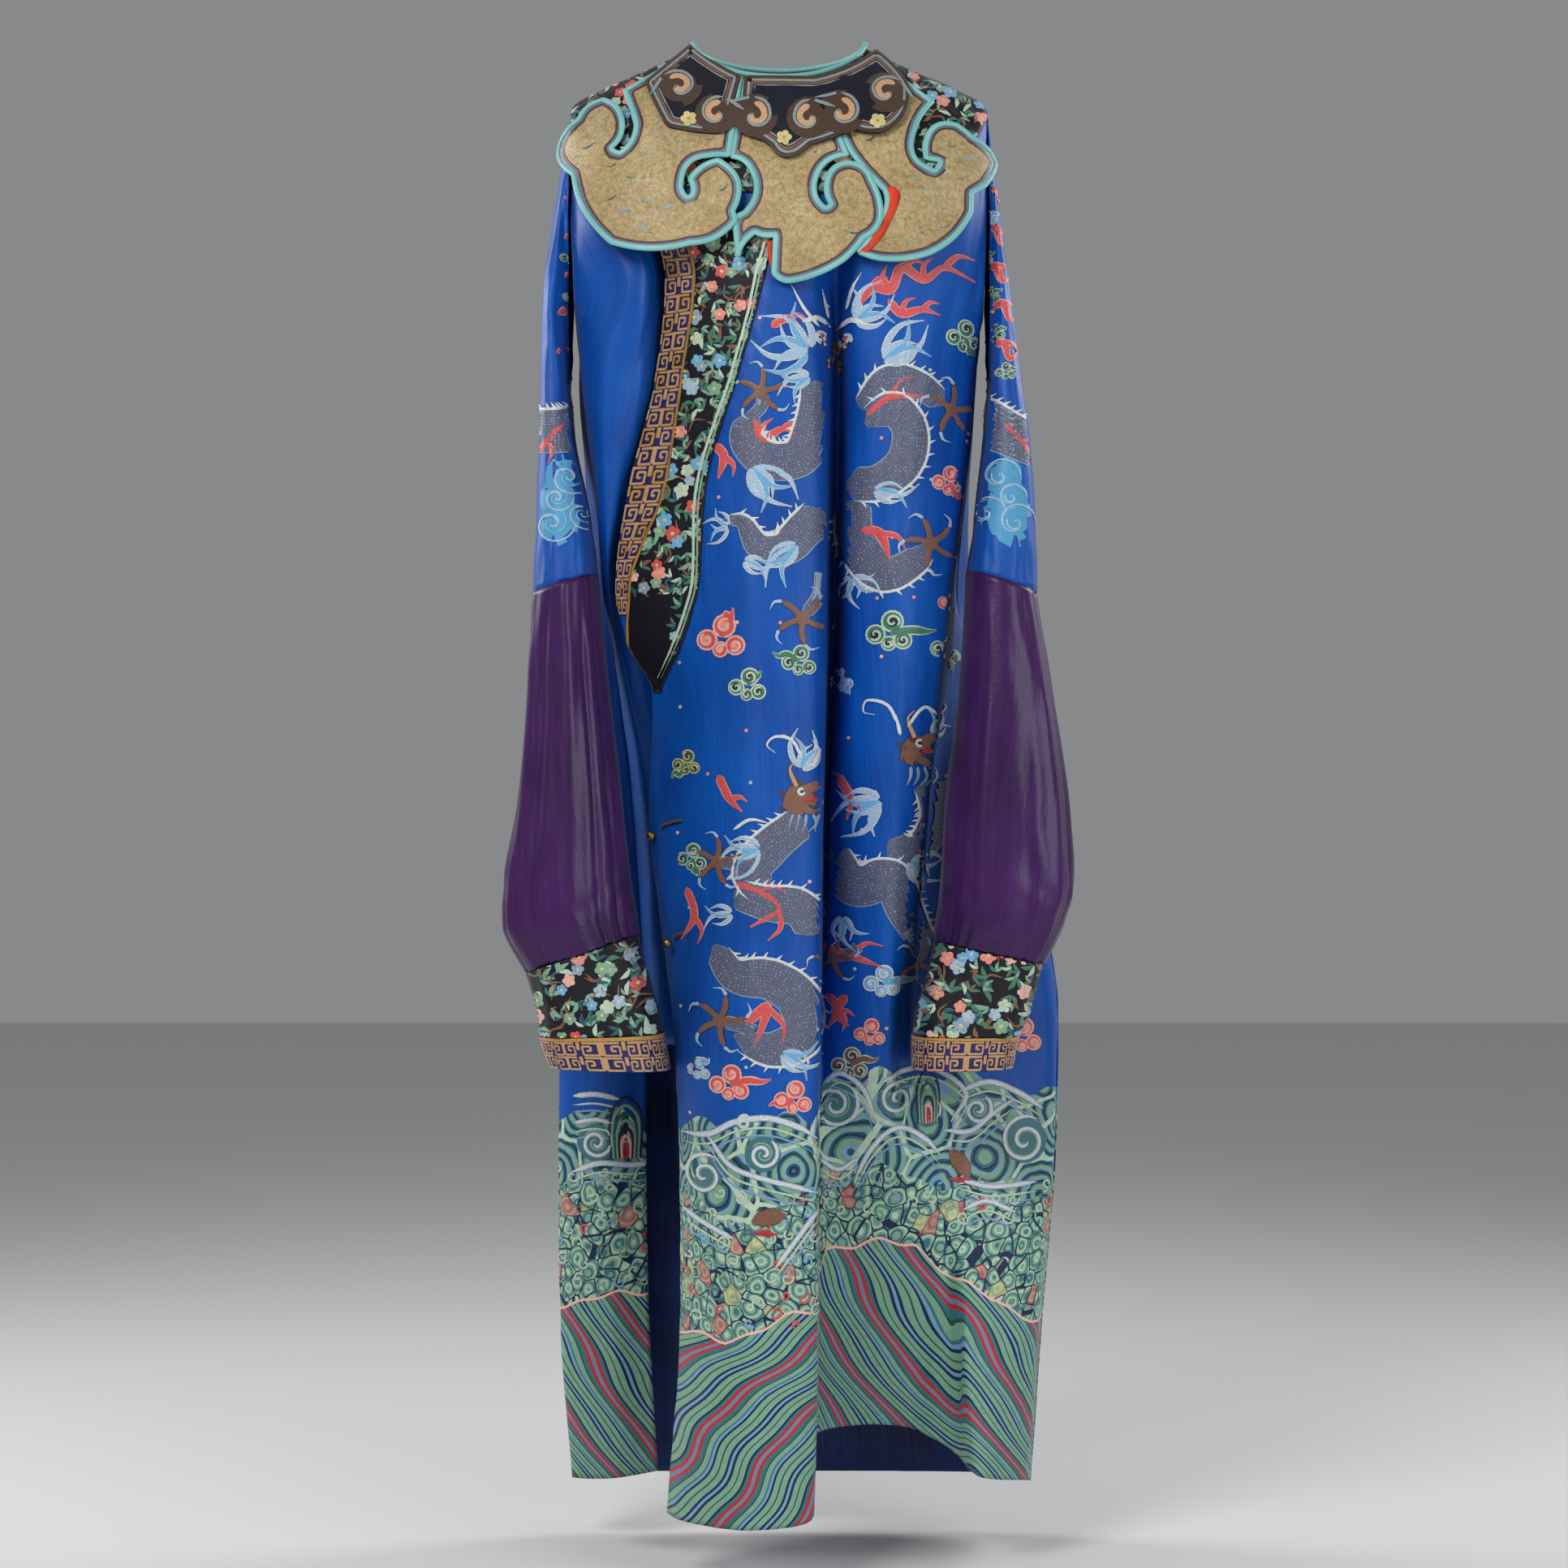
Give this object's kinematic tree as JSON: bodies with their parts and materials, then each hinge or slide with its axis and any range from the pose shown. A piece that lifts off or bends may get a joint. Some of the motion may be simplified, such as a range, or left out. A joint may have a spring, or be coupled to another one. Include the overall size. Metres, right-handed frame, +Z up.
{
  "type": "chinese dragon robe",
  "caption": "Long hollow robe with a side-fastened overlapping front, embroidered dragons over waves, banded sleeves with flared cuffs, and a lobed cloud collar.",
  "frame": {"origin": "middle of the neck opening, level with the two neck points of the shoulders, where the robe is held up", "axes": "+Z up, the front of the robe faces -Y, +X towards the wearer's left arm"},
  "size_m": [0.5519, 0.3422, 1.4052],
  "materials": {
    "blue_silk": "royal blue satin, embroidered",
    "plain_blue_silk": "royal blue satin, plain",
    "purple_silk": "aubergine satin, plain",
    "dark_floral_silk": "near-black silk with embroidered flowers",
    "fret_silk": "purple silk with a gold key fret",
    "cream_silk": "cream silk with small florals and a turquoise edge",
    "navy_silk": "near-black silk with scrolls",
    "turquoise_binding": "satin binding",
    "gold_piping": "couched gold cord",
    "orange_lining": "plain silk lining",
    "brown_cord": "twisted cord",
    "brass": "polished ball buttons"
  },
  "bodies": {
    "root": {"back_panel": "blue_silk", "border_band": "dark_floral_silk", "button_loop_lower": "brown_cord", "button_loop_upper": "brown_cord", "button_lower": "brass", "button_upper": "brass", "collar_back_lobe_left": "cream_silk", "collar_back_lobe_middle": "cream_silk", "collar_back_lobe_right": "cream_silk", "collar_inner_back": "navy_silk", "collar_inner_left": "navy_silk", "collar_inner_right": "navy_silk", "collar_lining_right": "orange_lining", "collar_lining_slit": "orange_lining", "collar_lobe_front": "cream_silk", "collar_lobe_left": "cream_silk", "collar_lobe_right": "cream_silk", "cuff_fret_left": "fret_silk", "cuff_fret_right": "fret_silk", "cuff_left": "dark_floral_silk", "cuff_right": "dark_floral_silk", "fret_band": "fret_silk", "front_outer": "blue_silk", "gold_piping": "gold_piping", "inner_front": "plain_blue_silk", "neck_band_back": "dark_floral_silk", "neck_band_front": "dark_floral_silk", "neck_band_underlap": "dark_floral_silk", "neck_binding": "turquoise_binding", "sleeve_lower_left": "purple_silk", "sleeve_lower_right": "purple_silk", "sleeve_upper_left": "blue_silk", "sleeve_upper_right": "blue_silk"}
  },
  "joints": []
}
